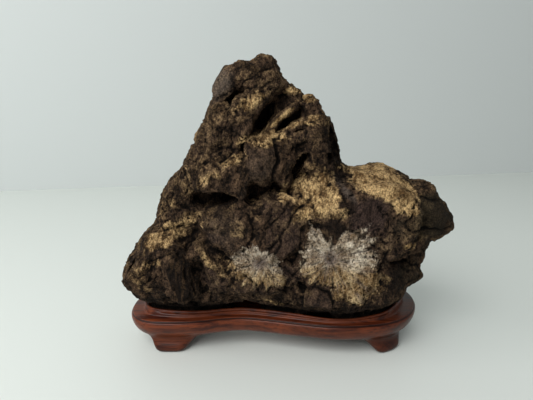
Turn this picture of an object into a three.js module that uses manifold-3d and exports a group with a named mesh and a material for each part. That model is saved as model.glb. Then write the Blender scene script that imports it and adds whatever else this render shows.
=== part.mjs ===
// A scholar's rock resting in the recess of its carved hardwood stand.
// Millimetres, +Z up, +X to the right seen from the front, -Y towards the front.
// The origin is on the surface that the stand's feet rest on, under the middle of the object.
import * as THREE from "three";
import { ConvexGeometry } from "three/addons/geometries/ConvexGeometry.js";
import { mergeVertices } from "three/addons/utils/BufferGeometryUtils.js";
import Module from "manifold-3d";

const wasm = await Module();
wasm.setup();

// ---- driving dimensions -------------------------------------------------------------------

const GAP = 0.3; // between the rock and the wood, all round its seat
const LIP_Z = 24; // height of the widest edge of the stand
const FLOOR_Z = 24; // bottom of the recess that the rock sits in
const UNDERSIDE_Z = 12; // underside of the stand, between its feet
const RIM_WALL = 2.4; // thickness of the thin rim round the recess
const RIM_Z = 29.5; // usual height of the rim's top
const LEDGE = 4.6; // usual width of the cove between rim and lip
const FINE_STEP = 3.3; // spacing of points along the stand's edge at the feet
const PLAIN_STEP = 6.5; // and between them
const FALL = 0.16; // how far the blocks of the rock sink per millimetre towards the back
const TILT = 0.13; // how far their faces recede per millimetre of height

// Out from the recess and up from the rim's top: how the rock draws in above the wood.
const UNDERCUT = [[3, 2.5], [9, 8], [15, 17], [48, 30]];

// The stand's widest edge seen from above, anticlockwise from the front left.
const PLAN = [
  [-98, -25], [-84, -28], [-62, -27], [-44, -23], [-30, -21.5], [-12, -25], [8, -30],
  [30, -34], [50, -33], [68, -28], [81, -18], [89, -4], [92, 12], [88, 26], [77, 35],
  [58, 39], [34, 37], [10, 31], [-16, 27], [-42, 27], [-66, 30], [-86, 30], [-100, 24],
  [-107.5, 11], [-109, -3], [-106, -16],
];

// The middle line of the plan, which inward offsets point to.
const SPINE = [[-74, 1], [-20, 2], [30, 2], [58, 5]];

// Each foot grows out of the edge nearest to its point.
const FEET = [[-81, -27.5], [74, -24], [-82, 30], [68, 38]];
const FOOT_FLAT = 10; // half width of a foot's sole along the edge
const FOOT_SKIRT = 23; // where its flank has run out into the apron

// Profile from the lip down and under, as [inset, height]: the plain apron, and through a foot.
const APRON = [
  [0.9, 24], [0, 23.3], [-0.2, 21], [0.7, 18], [2.4, 15], [4.7, 12.7], [6.2, 11.5],
  [7, 11], [7.7, 10.9], [8.6, 11], [9.6, 11.2], [11, 11.6], [16, 12], [18, 12],
  [20.5, 12], [22, UNDERSIDE_Z],
];
const THROUGH_FOOT = [
  [0.9, 24], [0, 23.3], [-0.2, 21], [0.7, 18], [2.4, 15], [4.6, 12.6], [6.2, 10.6],
  [6.6, 8.6], [5.8, 6.4], [4.7, 4.2], [4.3, 2.4], [5.1, 0.7], [6.8, 0], [16, 0],
  [18.5, 3], [21.5, UNDERSIDE_Z],
];

// ---- small helpers ------------------------------------------------------------------------

const bump = (value, centre, width) => Math.exp(-(((value - centre) / width) ** 2));

function solidOf(geometry) {
  const bare = new THREE.BufferGeometry().setAttribute("position", geometry.getAttribute("position"));
  if (geometry.index) bare.setIndex(geometry.index);
  const merged = mergeVertices(bare, 1e-3);
  return new wasm.Manifold(
    new wasm.Mesh({
      numProp: 3,
      vertProperties: merged.attributes.position.array,
      triVerts: new Uint32Array(merged.index.array),
    }),
  );
}

function geometryOf(solid) {
  const { vertProperties, triVerts } = solid.getMesh();
  const geometry = new THREE.BufferGeometry();
  geometry.setAttribute("position", new THREE.BufferAttribute(new Float32Array(vertProperties), 3));
  geometry.setIndex(new THREE.BufferAttribute(new Uint32Array(triVerts), 1));
  geometry.computeVertexNormals();
  return geometry;
}

// Closed loops of equal length, each joined to the next, with both ends filled in.
function skin(loops) {
  const count = loops[0].length;
  const position = loops.flat(2);
  const index = [];
  for (let ring = 0; ring + 1 < loops.length; ring++) {
    for (let k = 0; k < count; k++) {
      const a = ring * count + k;
      const b = ring * count + ((k + 1) % count);
      index.push(a, a + count, b, b, a + count, b + count);
    }
  }
  const flat = (loop) => loop.map(([x, y]) => new THREE.Vector2(x, y));
  const last = (loops.length - 1) * count;
  for (const [a, b, c] of THREE.ShapeUtils.triangulateShape(flat(loops[0]), [])) index.push(a, b, c);
  for (const [a, b, c] of THREE.ShapeUtils.triangulateShape(flat(loops.at(-1)), [])) {
    index.push(last + a, last + c, last + b);
  }
  const geometry = new THREE.BufferGeometry();
  geometry.setAttribute("position", new THREE.Float32BufferAttribute(position, 3));
  geometry.setIndex(index);
  return geometry;
}

// ---- the stand ----------------------------------------------------------------------------

function footDistance(point) {
  return Math.min(...FEET.map(([x, y]) => Math.hypot(point.x - x, point.y - y)));
}

function edgePoints() {
  const curve = new THREE.CatmullRomCurve3(
    PLAN.map(([x, y]) => new THREE.Vector3(x, y, 0)), true, "centripetal",
  );
  const length = curve.getLength();
  const points = [];
  for (let along = 0; along < length - FINE_STEP; ) {
    const point = curve.getPointAt(along / length);
    points.push(point);
    along += footDistance(point) < FOOT_SKIRT + PLAIN_STEP ? FINE_STEP : PLAIN_STEP;
  }
  return points;
}

const edge = edgePoints();

function towardsSpine(point) {
  const foot = new THREE.Vector3();
  let best = null;
  for (let k = 0; k + 1 < SPINE.length; k++) {
    const line = new THREE.Line3(
      new THREE.Vector3(...SPINE[k], 0), new THREE.Vector3(...SPINE[k + 1], 0),
    );
    line.closestPointToPoint(point, true, foot);
    if (!best || foot.distanceTo(point) < best.distanceTo(point)) best = foot.clone();
  }
  return best.sub(point).normalize();
}

const inward = edge.map(towardsSpine);
const inset = (k, distance, height) => [
  edge[k].x + inward[k].x * distance, edge[k].y + inward[k].y * distance, height,
];
const loop = (distance, height) => edge.map((_, k) => inset(k, distance(edge[k]), height(edge[k])));

// The rim follows the rock: higher round the right end, lower at the front right.
const rimTop = ({ x, y }) =>
  RIM_Z + 2.2 * bump(x, 92, 26) + 1 * bump(x, -100, 30) - (y < 0 ? 1.5 * bump(x, 34, 26) : 0);
// The cove is wide at both ends and narrow along the front.
const ledge = ({ x, y }) =>
  LEDGE + 4.4 * bump(x, -104, 30) + 4.4 * bump(x, 88, 22) - (y < 0 ? 0.8 * bump(x, 32, 20) : 0);

function footWeight(point) {
  return 1 - THREE.MathUtils.smoothstep(footDistance(point), FOOT_FLAT, FOOT_SKIRT);
}

function standGeometry() {
  const inside = (point) => ledge(point) + RIM_WALL;
  const cove = (share) => [
    (point) => THREE.MathUtils.lerp(ledge(point), 1.3, 1 - Math.cos((share * Math.PI) / 2)),
    (point) => THREE.MathUtils.lerp(rimTop(point) - 1.8, LIP_Z + 1, Math.sin((share * Math.PI) / 2)),
  ];
  const loops = [
    loop(inside, () => FLOOR_Z),
    loop((p) => inside(p) - 0.1, (p) => rimTop(p) - 0.7),
    loop((p) => inside(p) - 0.8, rimTop),
    loop((p) => ledge(p) + 0.7, rimTop),
    loop((p) => ledge(p) + 0.1, (p) => rimTop(p) - 0.7),
    ...[0, 0.4, 0.75, 1].map((share) => loop(...cove(share))),
    loop(() => 0.1, () => LIP_Z + 0.7),
  ];
  APRON.forEach(([apronInset, apronZ], row) => {
    const [footInset, footZ] = THROUGH_FOOT[row];
    loops.push(
      edge.map((point, k) => {
        const weight = footWeight(point);
        return inset(
          k,
          THREE.MathUtils.lerp(apronInset, footInset, weight),
          THREE.MathUtils.lerp(apronZ, footZ, weight),
        );
      }),
    );
  });
  return skin(loops);
}

// ---- the rock -----------------------------------------------------------------------------

// One block of the rock: an outline seen from the front, as [x, z], whose full size runs from
// shoulder to heel and which narrows to its face in front and its back behind.
function block([front, shoulder, heel, back], faceSize, [leanX, leanZ], outline) {
  const midX = outline.reduce((sum, [x]) => sum + x, 0) / outline.length;
  const midZ = outline.reduce((sum, [, z]) => sum + z, 0) / outline.length;
  const ring = (y, size, tilt, dx, dz) =>
    outline.map(([x, z]) => new THREE.Vector3(
      midX + (x - midX) * size + dx, y + (z - midZ) * tilt, midZ + (z - midZ) * size + dz,
    ));
  const points = [
    ...ring(front, faceSize, TILT, leanX, leanZ),
    ...ring(shoulder, 1, 0, 0, 0),
    ...ring(heel, 1, 0, 0, (shoulder - heel) * FALL),
    ...ring(back, 0.7, -TILT, 0, (shoulder - back) * FALL),
  ];
  return solidOf(new ConvexGeometry(points));
}

const BLOCKS = {
  core: [[-26, -14, 18, 36], 0.84, [0, 0],
    [[-90, 24], [-105, 48], [-103, 60], [-90, 82], [-65, 101], [-16, 112], [35, 122], [86, 110],
      [99, 94], [83, 67], [81, 47], [76, 24]]],
  peak: [[-10, -3, 14, 26], 0.86, [0, 0],
    [[-76, 98], [-61, 138], [-49, 167], [-47, 176], [-39, 187], [-27, 189], [-18, 192],
      [-12, 189], [-4, 177], [5, 170], [15, 164], [23, 155], [30, 138], [35, 123], [36, 100]]],
  knobLeft: [[-20, -12, 8, 18], 0.74, [3, 1],
    [[-49, 171], [-47, 177], [-44, 183], [-39, 189], [-32, 191], [-26, 191], [-23, 181], [-33, 173],
      [-43, 166], [-48, 166]]],
  knobRight: [[-19, -10, 8, 17], 0.74, [-2, 0],
    [[-28, 190], [-24, 193], [-17, 196], [-13, 196.5], [-10, 195], [-8, 188], [-4, 182], [-2, 175],
      [-7, 173], [-19, 176], [-26, 178]]],
  underPeakLedge: [[-22, -16, 0, 8], 0.8, [0, -2],
    [[-37, 165], [-25, 171], [-13, 175], [-8, 173], [-18, 165], [-28, 160], [-34, 161]]],
  leftButtress: [[-25, -17, 4, 15], 0.84, [1, -1],
    [[-47, 167], [-52, 158], [-57, 150], [-60, 140], [-66, 130], [-69, 125], [-54, 125], [-41, 131],
      [-30, 139], [-24, 150], [-20, 164], [-28, 161], [-37, 166]]],
  upperBlade: [[-19, -14, 0, 6], 0.85, [0, -1],
    [[-17, 148], [-7, 159], [2, 167], [6, 165], [-2, 155], [-12, 147]]],
  lowerBlade: [[-23, -18, 0, 6], 0.85, [0, -1],
    [[-13, 146], [-1, 155], [9, 157], [21, 157], [19, 153], [6, 150], [-9, 143]]],
  crestFirst: [[-12, -6, 4, 12], 0.75, [0, 0],
    [[-4, 166], [-1, 175], [4, 175], [7, 170], [8, 163], [0, 162]]],
  crestSecond: [[-17, -10, 6, 14], 0.75, [0, 0],
    [[7, 168], [11, 171], [15, 168], [19, 161], [22, 157], [14, 153], [6, 158]]],
  crestThird: [[-16, -9, 8, 16], 0.75, [-1, 0],
    [[16, 157], [25, 156], [28, 150], [31, 141], [18, 143]]],
  rightMass: [[-25, -17, 10, 20], 0.78, [-3, 1],
    [[-14, 146], [-4, 152], [9, 155], [22, 156], [27, 150], [30, 138], [34, 126], [19, 121], [4, 123],
      [-5, 132]]],
  centreBoulder: [[-33, -24, 0, 10], 0.72, [0, 1],
    [[-28, 137], [-26, 144], [-21, 148], [-13, 148], [-9, 144], [-9, 129], [-10, 119], [-18, 115],
      [-25, 118], [-28, 127]]],
  flutedBoulder: [[-29, -22, 0, 10], 0.78, [-1, 0],
    [[-9.5, 144], [1, 141], [6, 133], [3, 124], [-4, 113], [-9, 118]]],
  cornice: [[-35, -26, 0, 10], 0.78, [2, -3],
    [[-59, 126], [-47, 134], [-31, 137], [-26, 132], [-25, 117], [-28, 110], [-35, 107], [-49, 107],
      [-58, 110], [-61, 117]]],
  leftShoulder: [[-24, -10, 12, 26], 0.72, [2, 0],
    [[-67, 128], [-73, 123], [-78, 117], [-81, 108], [-88, 98], [-88, 90], [-79, 84], [-66, 88],
      [-58, 103], [-60, 123]]],
  middle: [[-37, -28, 0, 12], 0.8, [0, 0],
    [[-56, 98], [-41, 107], [-18, 112], [6, 110], [13, 100], [12, 82], [0, 70], [-18, 66], [-41, 72],
      [-54, 82]]],
  leftBoulder: [[-35, -14, 12, 26], 0.8, [3, -5],
    [[-86, 90], [-93, 85], [-99, 77], [-105, 68], [-109, 60], [-110, 53], [-108, 45], [-100, 40],
      [-95, 24], [-64, 24], [-60, 60], [-64, 84], [-75, 90]]],
  hollowSide: [[-36, -28, 0, 12], 0.8, [0, 1],
    [[-59, 83], [-48, 82], [-41, 72], [-37, 57], [-40, 42], [-54, 37], [-62, 41]]],
  leftFlowerBoss: [[-38, -30, 0, 10], 0.8, [0, 0],
    [[-39, 72], [-32, 78], [-20, 78], [-12, 72], [-4, 62], [-3, 49], [-18, 44], [-32, 48], [-39, 60]]],
  pebble: [[-41, -34, -10, 0], 0.6, [0, 0],
    [[-38, 53], [-33, 59], [-26, 58], [-23, 51], [-26, 44], [-34, 43]]],
  rightFlowerBoss: [[-38, -30, 0, 10], 0.82, [0, 0],
    [[5, 88], [13, 93], [37, 92], [49, 82], [59, 68], [57, 52], [47, 42], [31, 41], [14, 49], [3, 58],
      [1, 76]]],
  bulb: [[-40, -34, -10, 0], 0.6, [0, 0],
    [[6, 47], [10, 53], [17, 55], [26, 50], [29, 41], [26, 33], [17, 30], [9, 34]]],
  lowerMiddle: [[-34, -28, 0, 10], 0.85, [0, 0],
    [[-46, 42], [-30, 47], [-18, 53], [6, 57], [12, 40], [10, 24], [-8, 24], [-20, 40]]],
  lowerRight: [[-37, -30, 4, 14], 0.82, [0, 1],
    [[26, 47], [49, 56], [67, 57], [74, 50], [72, 40], [60, 24], [28, 24]]],
  armTop: [[-14, -4, 14, 28], 0.86, [-2, -1],
    [[33, 122], [38, 125], [48, 125], [58, 128], [65, 125], [73, 117], [85, 114], [89, 102], [75, 88],
      [38, 88]]],
  arm: [[-36, -30, 8, 20], 0.86, [0, -4],
    [[17, 109], [33, 119], [55, 121], [71, 115], [82, 106], [81, 88], [72, 74], [57, 70], [37, 86],
      [17, 88]]],
  armTip: [[-22, -11, 8, 20], 0.72, [-6, 0],
    [[79, 116], [91, 116], [96, 110], [98, 104], [103, 98], [108, 92], [108, 87], [105, 81], [97, 76],
      [84, 74], [77, 94]]],
  armRoot: [[-29, -22, 4, 14], 0.8, [-2, 0],
    [[60, 83], [77, 90], [87, 80], [85, 74], [82, 68], [79, 62], [69, 59], [57, 63]]],
  wedge: [[-25, -16, 4, 12], 0.72, [-6, 0],
    [[64, 58], [80, 62], [84, 58], [88, 53], [86, 49], [77, 45], [66, 41]]],
  lowBack: [[0, 10, 25, 34], 0.9, [0, 0],
    [[-88, 34], [-96, 54], [-76, 84], [-24, 100], [36, 98], [70, 82], [76, 44], [66, 24], [-74, 24]]],
  midBack: [[0, 6, 22, 33], 0.9, [0, 0],
    [[-68, 84], [-60, 118], [-38, 140], [-8, 136], [24, 114], [38, 86]]],
  backRidge: [[10, 18, 28, 34], 0.8, [0, 0],
    [[-30, 48], [-36, 70], [-20, 96], [2, 104], [16, 90], [14, 60], [0, 44]]],
  backCorner: [[8, 14, 25, 32], 0.8, [0, 0],
    [[40, 64], [36, 88], [50, 108], [72, 104], [84, 88], [76, 62], [58, 54]]],
  highBack: [[0, 4, 16, 25], 0.9, [0, 0],
    [[-50, 132], [-42, 163], [-24, 178], [-4, 166], [20, 147], [27, 122]]],
};

// What the rock leaves free: the recess's floor and wall, grown by the gap, and the undercut.
function seatCutter() {
  const bottom = 5;
  return skin([
    loop((p) => ledge(p) + RIM_WALL + GAP, () => FLOOR_Z + GAP),
    loop((p) => ledge(p) + RIM_WALL + GAP, (p) => rimTop(p) + GAP),
    ...UNDERCUT.map(([out, up]) => loop((p) => ledge(p) + RIM_WALL - out, (p) => rimTop(p) + up)),
    loop((p) => ledge(p) + RIM_WALL - UNDERCUT.at(-1)[0], () => bottom),
  ]);
}

function rockGeometry() {
  const blocks = Object.values(BLOCKS).map((values) => block(...values));
  const whole = blocks.reduce((sum, next) => sum.add(next));
  return geometryOf(whole.subtract(solidOf(seatCutter())));
}

// ---- the object ---------------------------------------------------------------------------

const stoneMaterial = new THREE.MeshStandardMaterial({ color: 0x4a3f36, roughness: 0.9, metalness: 0 });
const woodMaterial = new THREE.MeshStandardMaterial({ color: 0x6e3526, roughness: 0.35, metalness: 0 });

const rock = new THREE.Mesh(rockGeometry(), stoneMaterial);
rock.name = "rock";
const stand = new THREE.Mesh(standGeometry(), woodMaterial);
stand.name = "stand";

const scholarsRock = new THREE.Group();
scholarsRock.add(rock, stand);

// The origin goes under the middle of the object's box.
const middle = new THREE.Box3().setFromObject(scholarsRock).getCenter(new THREE.Vector3());
scholarsRock.position.set(-middle.x, -middle.y, 0);

export default scholarsRock;
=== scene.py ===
import math

import bmesh
import bpy
import numpy as np
from mathutils import Euler, Matrix, Vector, noise
from mathutils.bvhtree import BVHTree


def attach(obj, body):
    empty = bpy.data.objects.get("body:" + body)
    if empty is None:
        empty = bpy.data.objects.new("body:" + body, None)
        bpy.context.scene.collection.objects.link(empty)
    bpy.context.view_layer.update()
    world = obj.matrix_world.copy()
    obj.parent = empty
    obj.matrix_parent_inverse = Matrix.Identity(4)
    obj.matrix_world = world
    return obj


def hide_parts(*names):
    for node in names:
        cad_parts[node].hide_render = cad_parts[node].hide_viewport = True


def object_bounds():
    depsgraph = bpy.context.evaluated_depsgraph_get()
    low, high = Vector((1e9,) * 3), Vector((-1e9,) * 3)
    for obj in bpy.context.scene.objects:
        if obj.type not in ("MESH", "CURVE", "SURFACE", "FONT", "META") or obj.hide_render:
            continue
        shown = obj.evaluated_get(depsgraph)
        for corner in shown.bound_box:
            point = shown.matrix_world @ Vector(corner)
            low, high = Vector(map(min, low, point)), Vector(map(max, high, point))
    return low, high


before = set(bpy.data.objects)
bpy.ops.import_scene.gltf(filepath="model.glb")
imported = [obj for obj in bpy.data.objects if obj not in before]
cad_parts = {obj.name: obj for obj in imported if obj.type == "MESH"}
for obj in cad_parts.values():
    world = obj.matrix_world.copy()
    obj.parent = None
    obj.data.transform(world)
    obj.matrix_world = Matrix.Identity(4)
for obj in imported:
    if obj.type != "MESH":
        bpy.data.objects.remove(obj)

cadLow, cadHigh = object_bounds()
mm = 0.001  # every size below is in millimetres, +X right, -Y towards the viewer, +Z up
print("frame loaded")


def paint(red, green, blue):
    # a colour picker's 0-255 values as the linear colour that a shader takes
    shares = [value / 255 for value in (red, green, blue)]
    linear = [share / 12.92 if share < 0.0405 else ((share + 0.055) / 1.055) ** 2.4 for share in shares]
    return (*linear, 1)


def ramp(value, low, high):
    # 0 below low, 1 above high, an s-curve between
    t = np.clip((value - low) / (high - low), 0, 1)
    return t * t * (3 - 2 * t)


def readPoints(mesh):
    flat = np.empty(len(mesh.vertices) * 3)
    mesh.vertices.foreach_get("co", flat)
    return flat.reshape(-1, 3) / mm


def writePoints(mesh, points):
    mesh.vertices.foreach_set("co", (points * mm).ravel())
    mesh.update()


def readNormals(mesh):
    flat = np.empty(len(mesh.vertices) * 3)
    mesh.vertex_normals.foreach_get("vector", flat)
    return flat.reshape(-1, 3)


def readEdges(mesh):
    flat = np.empty(len(mesh.edges) * 2, int)
    mesh.edges.foreach_get("vertices", flat)
    return flat.reshape(-1, 2)


def averaged(values, edges, rounds):
    # each point takes the mean of its neighbours, so many times over
    count = len(values)
    ends = np.concatenate([edges[:, 0], edges[:, 1]])
    others = np.concatenate([edges[:, 1], edges[:, 0]])
    shares = np.bincount(ends, minlength=count)
    flat = values.reshape(count, -1)
    for _ in range(rounds):
        sums = [np.bincount(ends, column[others], count) / shares for column in flat.T]
        flat = np.stack(sums, axis=1)
    return flat.reshape(values.shape)


def fieldOf(points, size, octaves=3, shift=0.0):
    # soft fractal noise round 0, with features about this many millimetres across
    moved = points / size + shift
    return np.array([noise.fractal(p, 1.0, 2.0, octaves) for p in moved.tolist()])


def ridgesOf(points, size, shift=0.0):
    # 1 along thin crests, 0 in the hollows between them
    moved = points / size + shift
    return np.array([1 - min(1, 2.2 * abs(noise.noise(p))) for p in moved.tolist()])


def cellsAt(points, size, shift=0.0):
    # the number of the irregular cell that each point is in
    moved = points / size + shift
    found = {}
    return np.array([found.setdefault(noise.voronoi(p)[1][0].freeze(), len(found)) for p in moved.tolist()])


def brokenFlat(points, labels, share):
    # the points of each cell move part of the way to the plane that lies closest to them
    count = labels.max() + 1
    held = np.maximum(np.bincount(labels, minlength=count), 1)
    middles = np.stack([np.bincount(labels, column, count) / held for column in points.T], axis=1)
    away = points - middles[labels]
    spread = np.empty((count, 3, 3))
    for i in range(3):
        for j in range(3):
            spread[:, i, j] = np.bincount(labels, away[:, i] * away[:, j], count)
    facing = np.linalg.eigh(spread)[1][:, :, 0][labels]
    height = (away * facing).sum(1)
    return points - facing * (np.clip(height, -2, 2) * share)[:, None]


def chipsOf(points, size, shift=0.0):
    # each cell of the surface stands a little higher or lower than the next, with a crack between
    moved = points / size + shift
    heights, gaps = [], []
    for p in moved.tolist():
        reach, middles = noise.voronoi(p)
        heights.append(noise.cell(middles[0] * 3.1))
        gaps.append(reach[1] - reach[0])
    return np.array(heights), 1 - ramp(np.array(gaps) * size, 0, 1.3)


def newObject(name, mesh):
    piece = bpy.data.objects.new(name, mesh)
    bpy.context.scene.collection.objects.link(piece)
    return piece


def remeshed(mesh, voxel):
    # the outer skin of everything in the mesh, as even small squares
    draft = newObject("draft", mesh)
    skin = draft.modifiers.new("skin", "REMESH")
    skin.mode = "VOXEL"
    skin.voxel_size = voxel * mm
    skin.use_smooth_shade = True
    shown = draft.evaluated_get(bpy.context.evaluated_depsgraph_get())
    result = bpy.data.meshes.new_from_object(shown)
    bpy.data.objects.remove(draft)
    return result


stone = {
    "firstVoxel": 1.35,
    "fineVoxel": 1.15,
    "lumpSquareness": 0.66,
    "lumpRoughness": 0.22,
    "slabs": ["sandLedge", "upperBlade", "lowerBlade", "wedge", "wedgeTip", "lowRidge", "brow",
              "darkBlock"],
    "slabSquareness": 0.4,
    "slabRoughness": 0.1,
    "breaks": [(24, 0.5), (12, 0.6), (6, 0.6)],  # size of flat broken faces, and how flat they are
    "chips": [(10, 0.8, 0.9), (4.5, 0.6, 0.3)],  # size, height of the steps, depth of the cracks
    "knobbles": (4.5, 0.35),
    "grit": (2.4, 0.45),
    "flutes": (3.2, 2.4),
    "edgeWear": 0.12,  # how far the edges of broken faces are worn
    "proud": (0.9, 1.8),  # a spike this high starts to be worn down, and is gone
    "reliefGain": 0.6,  # how much the boulders and gaps between them are deepened
    "reliefLimits": (-6, 1.5),
    "reliefRounds": 50,
    "hollowEdge": (0.82, 1.1),  # shares of a hollow's size where its wall starts and ends
    "patchEdge": (0.55, 1.35),
    "patchWander": 0.45,
    "petalEdge": (0.8, 1.15),
    "creaseGain": 0.85,
    "creaseWidth": 0.75,
    "seatRecess": 1.7,
    "seatLevel": 36,  # the stone draws in below this and may swell above it
    "seatSkin": 0.15,
    "crumbleTop": 40,
    "crumbleDepth": 3,
    "seatTop": 46,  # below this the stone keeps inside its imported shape, clear of the wood
    "woodTop": 34,  # the wood is lower than this, rim and all
    "woodGap": 0.5,  # from the seat to the wood
    "woodReach": 3,  # only points this near the wood are moved off it
    "crumbPoints": 500,  # a loose group of fewer points than this is a speck
}

# middle x and z, face y, half width, half height, half depth, turn and backward tip in degrees
lumps = {
    "crown": (-14, 187, -20, 9, 8.5, 14, 0, 0),
    "crownLeft": (-40, 177, -20, 12, 6, 12, 65, 0),
    "crownBelly": (-21, 180, -23, 16, 8, 13, 0, 0),
    "sandLedge": (-24, 166, -26, 12, 4.5, 13, 25, 20),
    "buttress": (-41, 147, -28, 21, 12, 13, 46, 0),
    "buttressRib": (-28, 151, -30, 13, 5, 13, 64, 0),
    "upperBlade": (-4.5, 157.8, -24, 13, 1.6, 13, 38, 8),
    "lowerBlade": (0, 151, -26, 14, 1.9, 13, 22, 8),
    "crestLow": (3, 169, -14, 7, 6, 13, -59, 0),
    "crestMiddle": (13, 163, -19, 8, 6, 13, -78, 0),
    "crestRight": (23, 151, -20, 8, 6, 13, -63, 0),
    "brow": (7, 146, -27, 17, 6, 13, 12, 10),
    "underBrow": (20, 137, -25, 12, 9, 13, -14, 0),
    "egg": (-17.5, 132, -38, 9, 15, 17, 0, 8),
    "fluted": (-2, 132, -33, 7, 12.5, 15, -6, 6),
    "cornice": (-34, 121, -38, 10.5, 11, 15, 0, 8),
    "corniceLeft": (-49, 120, -35, 9, 7.5, 13, 26, 8),
    "shoulder": (-70, 108, -27, 16, 8.6, 20, 63, 0),
    "corniceGap": (-61, 121, -25, 8, 9, 14, 30, 8),
    "shelf": (-63, 93, -29, 11, 6, 15, 14, 20),
    "middle": (-38, 91, -40, 17, 14.5, 17, -33, 4),
    "middleRight": (-12, 97, -38, 13, 10.5, 15, 55, 6),
    "slab": (-1, 83, -40, 13, 8, 15, 50, 0),
    "fold": (2, 61, -37, 11.5, 7, 15, 71, 0),
    "cheekTop": (-78, 80, -31, 18, 9, 20, 25, 25),
    "cheek": (-90, 60, -35, 14, 13, 24, -34, 0),
    "cheekKnob": (-57, 73, -37, 5, 10, 15, 0, 0),
    "darkBlock": (-68, 59, -43, 8.5, 17, 13, 7, 4),
    "cheekFoot": (-76, 44, -32, 18, 6, 15, -2, 0),
    "lowRidge": (-47, 66, -39, 17, 3.2, 13, -50, 0),
    "lowSlope": (-48, 55, -37, 13, 9, 15, -58, 0),
    "tooth": (-54, 44, -33, 6, 6.5, 13, 0, 0),
    "toothRight": (-43, 43, -30, 6, 5.5, 13, 0, 0),
    "pebble": (-29, 55, -41, 7.4, 6, 11, -16, 0),
    "leftBoss": (-18, 66, -39, 18, 12, 15, -29, 0),
    "rightBoss": (32, 69, -40, 28, 20, 17, -22, 5),
    "bulb": (18, 43.5, -45, 10, 10, 14, 8, 0),
    "bulbRight": (32, 42, -38, 7, 6, 13, -30, 0),
    "footMiddle": (-2, 43, -33, 13, 7, 15, -8, 0),
    "footRight": (40, 40, -38, 14, 5, 15, 7, 0),
    "armTop": (57, 112, -24, 24, 10, 22, -14, 18),
    "armFace": (48, 101, -37, 15, 13, 15, 24, 8),
    "armCheek": (68, 101, -35, 9.5, 14, 15, -14, 8),
    "armEnd": (92, 94, -24, 12, 14, 18, 13, 8),
    "armKnob": (90, 110, -18, 6.5, 5.5, 15, -20, 0),
    "armUnder": (71, 79, -34, 12, 8, 15, 15, 0),
    "wedge": (74, 56, -28, 12, 6.5, 13, 12, 0),
    "wedgeTip": (83, 54.5, -22, 7, 3.6, 11, -18, 0),
    "skirt": (64, 56, -35, 8, 13, 15, 13, 0),
    "slope": (21, 109, -30, 19, 15, 15, 21, 35),
    "saddle": (16, 98, -36, 10, 7, 14, 20, 15),
}

# middle x and z, floor y, half width, half height, turn: pressed in from the front
hollows = {
    "trough": (-16, 156.5, 2, 13, 5.2, 56),
    "troughTop": (-6.5, 169, -12, 6, 4, 53),
    "underCrown": (-33, 170, -16, 7.5, 1.1, 31),
    "betweenBlades": (-0.5, 154.8, -9, 11, 2.3, 36),
    "underBlades": (6, 150, -12, 6, 1.4, 20),
    "slot": (6, 129, -12, 8.5, 2.6, 54),
    "cleft": (29, 140, -8, 14, 3.6, -74),
    "pit": (25, 133, -17, 2, 4.5, 10),
    "overhang": (-47, 108, -14, 15, 6, 8),
    "hole": (-19, 111, -18, 8, 3.6, 44),
    "smallHole": (-8, 109, -26, 2.6, 2.1, 28),
    "sideCrack": (-99, 65, -14, 5, 2, 73),
    "besideBlock": (-55, 58, -31, 3.5, 13, 10),
    "arch": (-27, 31, 0, 16, 6.5, 0),
    "archLeft": (-69, 36, -22, 14, 3, 0),
    "underArm": (74, 66, -10, 11, 2.2, -4),
    "seatRight": (62, 34, -25, 22, 4.5, 12),
}

# middle x and z, reach, move right, move up: the outline is pulled about here, as with a grab brush
nudges = {
    "cliff": (36, 139, 14, 3, 0),
    "armTop": (50, 125, 15, 0, -3),
    "armEndTop": (90, 115, 9, 0, -1.5),
    "armTip": (109, 88, 12, 2.5, 0),
    "notch": (82, 68, 10, -6.5, 0),
    "underWedge": (83, 45, 7, -4, 0),
    "cheek": (-107, 56, 13, -1.8, 0),
    "shoulder": (-83, 102, 14, 1.2, 0),
    "crownRight": (-6, 187, 8, -2, 0),
    "crownLeft": (-20, 195, 4.5, 0, -1),
}

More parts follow.
